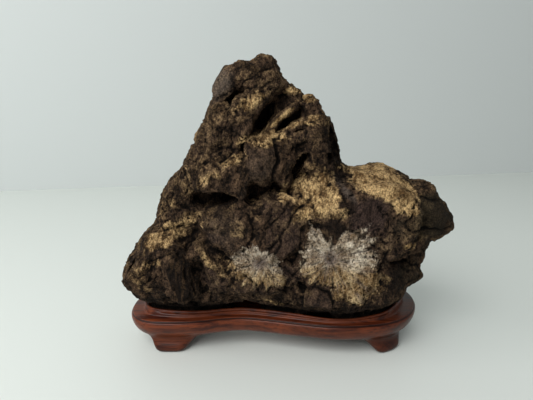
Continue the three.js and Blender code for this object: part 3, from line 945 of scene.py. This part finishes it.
def paintShadeAndSpecks(tree, colour, noises, pits, cracks, bloomShare):
    # painted shade darkens pits, cracks, creases and hollows, deep ones most; random specks and grain vary
    # the tone
    crack = stoneFinish["crack"]
    colour = blended(tree, pits, colour, crack)
    colour = blended(tree, times(tree, cracks, 0.9), colour, crack)
    colour = blended(tree, spanned(tree, noises["speck"], 0.46, 0.36, 0, 0.45), colour, crack)
    colour = blended(tree, times(tree, attribute(tree, "crease"), 0.6), colour, crack)
    grainy = shaded(tree, colour, spanned(tree, noises["grain"], 0.42, 0.58, 0.66, 1.3))
    colour = blended(tree, spanned(tree, bloomShare, 0, 1, 1, 0.5), colour, grainy)
    # painted shade in close hollows, lighter on the rosettes
    hollowShade = spanned(tree, attribute(tree, "hollow"), 0.54, 0.85, 0, 0.92)
    hollowShade = times(tree, hollowShade, spanned(tree, bloomShare, 0, 1, 1, 0.6))
    colour = blended(tree, hollowShade, colour, crack)
    # painted shade in deep, wide hollows
    return blended(tree, spanned(tree, attribute(tree, "deep"), 0.56, 0.85, 0, 0.85), colour, crack)


def stoneRelief(tree, noises, warped, pits, cracks, pale, bloomShare):
    cellShare = spanned(tree, pale, 0.1, 0.9, 1, 0.4)
    normal = bumped(tree, noises["middle"], 3.5, 1.0)
    normal = bumped(tree, times(tree, noises["flutes"], attribute(tree, "fluted")), 3, 1.0, normal)
    normal = bumped(tree, times(tree, noises["rays"], bloomShare), -2.5, 1.0, normal)
    normal = bumped(tree, cracks, -0.8, 0.7, normal)
    for size, height in ((3.4, 1.6), (1.6, 0.9)):
        normal = bumped(tree, times(tree, cellsOf(tree, warped, size), cellShare), height, 0.9, normal)
    normal = bumped(tree, noises["fine"], 2.4, 1.0, normal)
    return bumped(tree, pits, -0.6, 0.8, normal)


def stoneMaterial():
    finish = stoneFinish
    material, tree, shader = newMaterial("weatheredStone")
    place = placeOf(tree)
    warped = warpedPlace(tree, place, 4, 5)
    noises = stoneNoises(tree, place)
    sandShare = sandCover(tree, noises)
    sandColour = blended(tree, spanned(tree, noises["tone"], 0.42, 0.6), finish["sandDeep"], finish["sand"])
    colour = blended(tree, sandShare, bareStone(tree, noises), sandColour)
    bloomEdge = spanned(tree, noises["speck"], 0.36, 0.64, 0, 0.6)
    bloomShare = spanned(tree, maths(tree, "ADD", attribute(tree, "bloom"), bloomEdge), 0.75, 1.35)
    colour = blended(tree, bloomShare, colour, bloomPaint(tree, noises))
    pale = maths(tree, "MAXIMUM", times(tree, sandShare, 0.6), bloomShare)
    pits = pitsOf(tree, place, noises, pale)
    cracks = brokenLines(tree, warped, noises, pale)
    feed(tree, shader.inputs["Base Color"], paintShadeAndSpecks(tree, colour, noises, pits, cracks, bloomShare))
    shader.inputs["Roughness"].default_value = finish["roughness"]
    shader.inputs["Specular IOR Level"].default_value = finish["specular"]
    relief = stoneRelief(tree, noises, warped, pits, cracks, pale, bloomShare)
    feed(tree, shader.inputs["Normal"], relief)
    return material


woodFinish = {
    "heart": paint(68, 26, 13),
    "sap": paint(128, 62, 31),
    # dark grain streaks, and painted shade in the groove and on the right end
    "darkGrainAndShade": paint(28, 10, 6),
    "polish": 0.34,
    "specular": 0.2,
    "coat": 0.06,
    "coatPolish": 0.14,
}


def woodMaterial():
    finish = woodFinish
    heart, darkGrainAndShade = finish["heart"], finish["darkGrainAndShade"]
    material, tree, shader = newMaterial("polishedHardwood")
    place = placeOf(tree)
    bands = noiseOf(tree, place, 4.5, 5, 0.6, (0.09, 1, 1))
    pores = noiseOf(tree, place, 0.8, 3, 0.6, (0.05, 1, 1))
    clouds = noiseOf(tree, place, 26, 3)
    veins = noiseOf(tree, place, 3, 4, 0.6, (0.14, 1, 1))
    colour = blended(tree, spanned(tree, bands, 0.34, 0.66), heart, finish["sap"])
    colour = blended(tree, spanned(tree, bands, 0.52, 0.62, 0, 0.55), colour, heart)
    parts = node(tree, "SeparateXYZ")
    feed(tree, parts.inputs[0], place)
    grainAndShadeShares = [
        spanned(tree, pores, 0.5, 0.7, 0, 0.7),
        spanned(tree, veins, 0.54, 0.68, 0, 0.6),
        spanned(tree, clouds, 0.45, 0.7, 0, 0.45),
        # painted shade in the incised groove
        times(tree, attribute(tree, "groove"), 0.85),
        spanned(tree, parts.outputs["Z"], 16 * mm, 6 * mm, 0, 0.4),  # darker towards the feet
        # painted shade: the right end darker, as it is turned from the light
        spanned(tree, parts.outputs["X"], 10 * mm, 90 * mm, 0, 0.45),  # and towards the right end
    ]
    for share in grainAndShadeShares:
        colour = blended(tree, share, colour, darkGrainAndShade)
    feed(tree, shader.inputs["Base Color"], colour)
    polish = spanned(tree, bands, 0.3, 0.7, finish["polish"] - 0.05, finish["polish"] + 0.12)
    feed(tree, shader.inputs["Roughness"], polish)
    shader.inputs["Specular IOR Level"].default_value = finish["specular"]
    shader.inputs["Coat Weight"].default_value = finish["coat"]
    shader.inputs["Coat Roughness"].default_value = finish["coatPolish"]
    feed(tree, shader.inputs["Normal"], bumped(tree, pores, 0.12, 0.35))
    return material


stand = {
    "edgePoints": 420,
    "edgeWaves": 26,  # how finely the plan's outline turns
    "planHeight": 21,
    "planInset": -0.2,
    "lip": 24,
    "floor": 24,
    "rim": 29.5,
    "rimWall": 4.2,
    "ledge": 4.6,
    "spine": [(-74, 1), (-20, 2), (30, 2), (58, 5)],
    "feet": [(-81, -27.5), (71.5, -25), (-82, 30), (68, 38)],
    # how far its underside has risen at this distance from a foot's middle
    "footLine": [(0, 0), (8, 0.1), (11.5, 0.9), (14.4, 3.4), (18.5, 6.6), (24, 8.8), (30, 10), (38, 11.4),
                 (48, 12)],
    "groove": (1.2, 0.5),  # depth and half height of the incised line
}

# from the lip down and under: inset and height of the plain apron, then through a foot
profile = [
    ((-0.2, 22.9), (-0.2, 22.9)),
    ((-0.3, 22), (-0.3, 22)),
    ((-0.2, 21), (-0.2, 21)),
    ((0.1, 19.6), (0.1, 19.6)),
    ((0.7, 18), (0.7, 18)),
    ((1.5, 16.4), (1.5, 16.4)),
    ((2.4, 15), (2.4, 15)),
    ((3.5, 13.8), (3.5, 13.8)),
    ((4.5, 13.4), (4.6, 12.6)),
    ((5.2, 13), (5.5, 11.6)),
    ((6, 12.7), (6.2, 10.6)),
    ((6.8, 12.5), (6.5, 9.6)),
    ((7.6, 12.4), (6.6, 8.6)),
    ((8.6, 12.5), (6.3, 7.5)),
    ((9.6, 12.8), (5.8, 6.4)),
    ((11, 13.2), (5.2, 5.3)),
    ((12.5, 13.4), (4.7, 4.2)),
    ((14, 13.5), (4.4, 3.2)),
    ((16, 13.6), (4.3, 2.2)),
    ((17, 13.6), (4.6, 1.2)),
    ((18, 13.6), (5.4, 0.4)),
    ((19, 13.6), (6.8, 0)),
    ((20, 13.6), (16, 0)),
    ((21, 13.6), (18.5, 3)),
    ((22, 13.6), (21.5, 13.6)),
]


def hump(values, middle, width):
    return np.exp(-(((values - middle) / width) ** 2))


def standEdge():
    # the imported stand's outline at its widest, evenly spaced and smoothed
    points = readPoints(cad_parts["stand"].data)
    widest = np.abs(points[:, 2] - stand["planHeight"]) < 0.01
    ring = np.unique(np.round(points[widest][:, :2], 3), axis=0)
    ring = ring[np.argsort(np.arctan2(ring[:, 1] - 2, ring[:, 0]))]
    closed = np.vstack([ring, ring[:1]])
    lengths = np.concatenate([[0], np.cumsum(np.linalg.norm(np.diff(closed, axis=0), axis=1))])
    count = stand["edgePoints"]
    at = np.linspace(0, lengths[-1], count, endpoint=False)
    right, back = (np.interp(at, lengths, column) for column in closed.T)
    even = right + 1j * back
    waves = np.fft.fft(even)
    waves[np.abs(np.fft.fftfreq(count, 1 / count)) > stand["edgeWaves"]] = 0
    smooth = np.fft.ifft(waves)
    return np.stack([smooth.real, smooth.imag], axis=1)


def towardsSpine(edge):
    best = np.full(len(edge), 1e9)
    inward = np.zeros_like(edge)
    for start, end in zip(stand["spine"], stand["spine"][1:]):
        a, b = np.array(start, float), np.array(end, float)
        t = np.clip((edge - a) @ (b - a) / ((b - a) @ (b - a)), 0, 1)
        away = a + t[:, None] * (b - a) - edge
        length = np.linalg.norm(away, axis=1)
        nearer = length < best
        best[nearer] = length[nearer]
        inward[nearer] = (away / length[:, None])[nearer]
    smooth = inward.copy()
    for _ in range(6):
        smooth = (smooth + np.roll(smooth, 1, 0) + np.roll(smooth, -1, 0)) / 3
    return smooth / np.linalg.norm(smooth, axis=1)[:, None]


def standRows(edge):
    # inset, height and painted shade of every row of points, from the recess's floor over the rim and under
    # the stand; the shade is painted only along the incised groove
    x, y = edge.T
    front = ramp(-y, -4, 4)
    rim = stand["rim"] + 2.2 * hump(x, 92, 26) + hump(x, -100, 30) - 1.5 * front * hump(x, 34, 26)
    ledge = stand["ledge"] + 4.4 * hump(x, -104, 30) + 4.4 * hump(x, 88, 22) - 0.8 * front * hump(x, 32, 20)
    wall = stand["rimWall"]
    flat = np.zeros(len(edge))
    rows = [(ledge + wall, flat + stand["floor"], 0), (ledge + wall - 0.1, rim - 2.6, 0)]
    rows += [(ledge + wall - 0.7, rim - 1.7, 0), (ledge + wall * 0.6, rim - 1, 0)]
    for step in range(6):
        turn = math.pi * (0.35 + 0.65 * step / 5)  # the rim's rounded crown
        rows.append((ledge + 0.9 + 0.9 * math.cos(turn), rim - 0.9 + 0.9 * math.sin(turn), 0))
    lip = flat + stand["lip"]
    rows += [(ledge, rim - 1.7, 0), (ledge - 0.05, (rim + lip + 3) / 2, 0), (ledge - 0.1, lip + 2.5, 0)]
    for step in range(1, 5):
        turn = math.pi / 2 * step / 4  # the fillet between the rim's face and its ledge
        rows.append((ledge - 0.1 - 1.4 * (1 - math.cos(turn)), lip + 2.5 - 1.3 * math.sin(turn), 0))
    rows += [((ledge - 1.5) * 0.5 + 0.7, lip + 1.1, 0), (flat + 1.4, lip + 1.15, 0), (flat + 1, lip + 1, 0)]
    depth, half = stand["groove"]
    rows += [(flat + 0.8, lip + half + 0.2, 0.3), (flat + 0.7 + depth, lip + 0.2, 1)]
    rows += [(flat + 0.6, lip - 0.2, 1), (flat + 0.1, lip - 0.5, 0)]
    reaches = [np.hypot(x - fx, y - fy) for fx, fy in stand["feet"]]
    distance = np.min([np.sqrt(reach**2 - reach.min() ** 2) for reach in reaches], axis=0)
    away, rise = np.array(stand["footLine"]).T
    footShare = 1 - np.interp(distance, away, rise) / rise[-1]
    for _ in range(3):
        footShare = (footShare + np.roll(footShare, 1) + np.roll(footShare, -1)) / 3
    for apron, foot in profile:
        inset = apron[0] + (foot[0] - apron[0]) * footShare
        height = apron[1] + (foot[1] - apron[1]) * footShare
        rows.append((inset, height, 0))
    return rows


def makeStand():
    edge = standEdge()
    inward = towardsSpine(edge)
    edge = edge + inward * -stand["planInset"]
    bm = bmesh.new()
    # painted shade along the incised groove, kept on each point
    shade = bm.verts.layers.float.new("groove")
    circle = bmesh.ops.create_circle(bm, segments=len(edge), radius=1)["verts"]
    ring = sorted(circle, key=lambda vert: vert.index)
    edges = list(bm.edges)
    rings = []
    rows = standRows(edge)
    for number, (inset, height, dark) in enumerate(rows):
        if number:
            made = bmesh.ops.extrude_edge_only(bm, edges=edges)["geom"]
            edges = [g for g in made if isinstance(g, bmesh.types.BMEdge) and g.is_boundary]
            ring = [nextVert(vert, made) for vert in ring]
        spots = edge + inward * np.broadcast_to(inset, len(edge))[:, None]
        for vert, spot, level in zip(ring, spots, height):
            vert.co = (spot[0] * mm, spot[1] * mm, level * mm)
            vert[shade] = dark
        rings.append(ring)
    openEdges = [e for e in bm.edges if e.is_boundary]
    bmesh.ops.holes_fill(bm, edges=openEdges, sides=0)
    bmesh.ops.triangulate(bm, faces=[f for f in bm.faces if len(f.verts) > 4])
    bmesh.ops.recalc_face_normals(bm, faces=bm.faces)
    for face in bm.faces:
        face.smooth = True
    putInOrder(bm, rings)
    mesh = bpy.data.meshes.new("carvedStand")
    bm.to_mesh(mesh)
    bm.free()
    return newObject("carvedStand", mesh)


def putInOrder(bm, rings):
    # extrusions leave faces in any order, and the stone's seat is fitted to them, so the order is set
    for number, vert in enumerate(vert for ring in rings for vert in ring):
        vert.index = number
    bm.verts.sort()
    bm.verts.index_update()
    count = len(bm.verts)
    bm.faces.sort(key=lambda face: faceNumber(face, count))


def faceNumber(face, count):
    first, second, third = sorted(vert.index for vert in face.verts)[:3]
    return (first * count + second) * count + third


def nextVert(vert, made):
    fresh = set(made)
    for edge in vert.link_edges:
        other = edge.other_vert(vert)
        if other in fresh:
            return other
    raise ValueError("a row of the stand has a gap")


setting = {
    "table": paint(222, 227, 221),
    "wall": paint(206, 211, 209),
    "wallFoot": [(-437, 463), (486, 621)],
    "tableReach": 900,
    "wallHeight": 1400,
    "skyStrength": 0.37,
    "keyPower": 2.8,
    "keySize": 0.5,
    "keyPlace": (-0.85, -0.25, 0.6),
    "overheadPower": 12,
    "overheadSize": 0.8,
    "overheadPlace": (-0.45, -0.85, 0.88),
    "lens": 35.122,
    "sensor": 36,
    "eye": (-14, -339.88, 185.5),
    "pitch": 14,
}


def plainMaterial(name, colour, roughness):
    material, _, shader = newMaterial(name)
    shader.inputs["Base Color"].default_value = colour
    shader.inputs["Roughness"].default_value = roughness
    return material


def flatPiece(name, corners, material):
    bm = bmesh.new()
    bm.faces.new([bm.verts.new(Vector(corner) * mm) for corner in corners])
    mesh = bpy.data.meshes.new(name)
    bm.to_mesh(mesh)
    bm.free()
    piece = newObject(name, mesh)
    mesh.materials.append(material)
    return piece


def makeSetting():
    (leftX, leftY), (rightX, rightY) = setting["wallFoot"]
    slope = (rightY - leftY) / (rightX - leftX)
    reach = setting["tableReach"] * 2
    backLeft = (-reach, leftY + slope * (-reach - leftX), 0)
    backRight = (reach, leftY + slope * (reach - leftX), 0)
    front = -setting["tableReach"]
    top = setting["wallHeight"]
    tableMaterial = plainMaterial("paleTable", setting["table"], 0.5)
    wallMaterial = plainMaterial("paleWall", setting["wall"], 0.9)
    flatPiece("tableTop", [(-reach, front, 0), (reach, front, 0), backRight, backLeft], tableMaterial)
    high = Vector((0, 0, top))
    wallCorners = [backLeft, backRight, Vector(backRight) + high, Vector(backLeft) + high]
    flatPiece("wall", wallCorners, wallMaterial)


def addLight(name, place, aim, size, power, colour=(1, 1, 1)):
    lamp = bpy.data.lights.new(name, "AREA")
    lamp.size = size
    lamp.energy = power
    lamp.color = colour
    light = bpy.data.objects.new(name, lamp)
    light.location = place
    light.rotation_euler = (Vector(aim) - Vector(place)).to_track_quat("-Z", "Y").to_euler()
    bpy.context.scene.collection.objects.link(light)


def makeLight():
    world = bpy.data.worlds.new("softSky")
    world.use_nodes = True
    background = world.node_tree.nodes["Background"]
    background.inputs["Color"].default_value = (0.95, 0.98, 1, 1)
    background.inputs["Strength"].default_value = setting["skyStrength"]
    bpy.context.scene.world = world
    middle = (0, 0, 0.08)
    addLight("windowLight", setting["keyPlace"], middle, setting["keySize"], setting["keyPower"])
    overhead = setting["overheadPlace"]
    addLight("ceilingLight", overhead, middle, setting["overheadSize"], setting["overheadPower"])


def makeCamera():
    lens = bpy.data.cameras.new("eye")
    lens.lens = setting["lens"]
    lens.sensor_width = setting["sensor"]
    lens.clip_start = 10 * mm
    camera = bpy.data.objects.new("eye", lens)
    camera.location = Vector(setting["eye"]) * mm
    camera.rotation_euler = (math.radians(90 - setting["pitch"]), 0, 0)
    bpy.context.scene.collection.objects.link(camera)
    bpy.context.scene.camera = camera


makeCamera()
makeLight()
makeSetting()

standPiece = makeStand()
standPiece.data.materials.append(woodMaterial())
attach(standPiece, "root")
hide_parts("stand")
print("stand made")

stonePiece = makeStone(standPiece)
stonePiece.data.materials.append(stoneMaterial())
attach(stonePiece, "root")
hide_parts("rock")
print("stone made")

bpy.context.scene.view_settings.view_transform = "Standard"
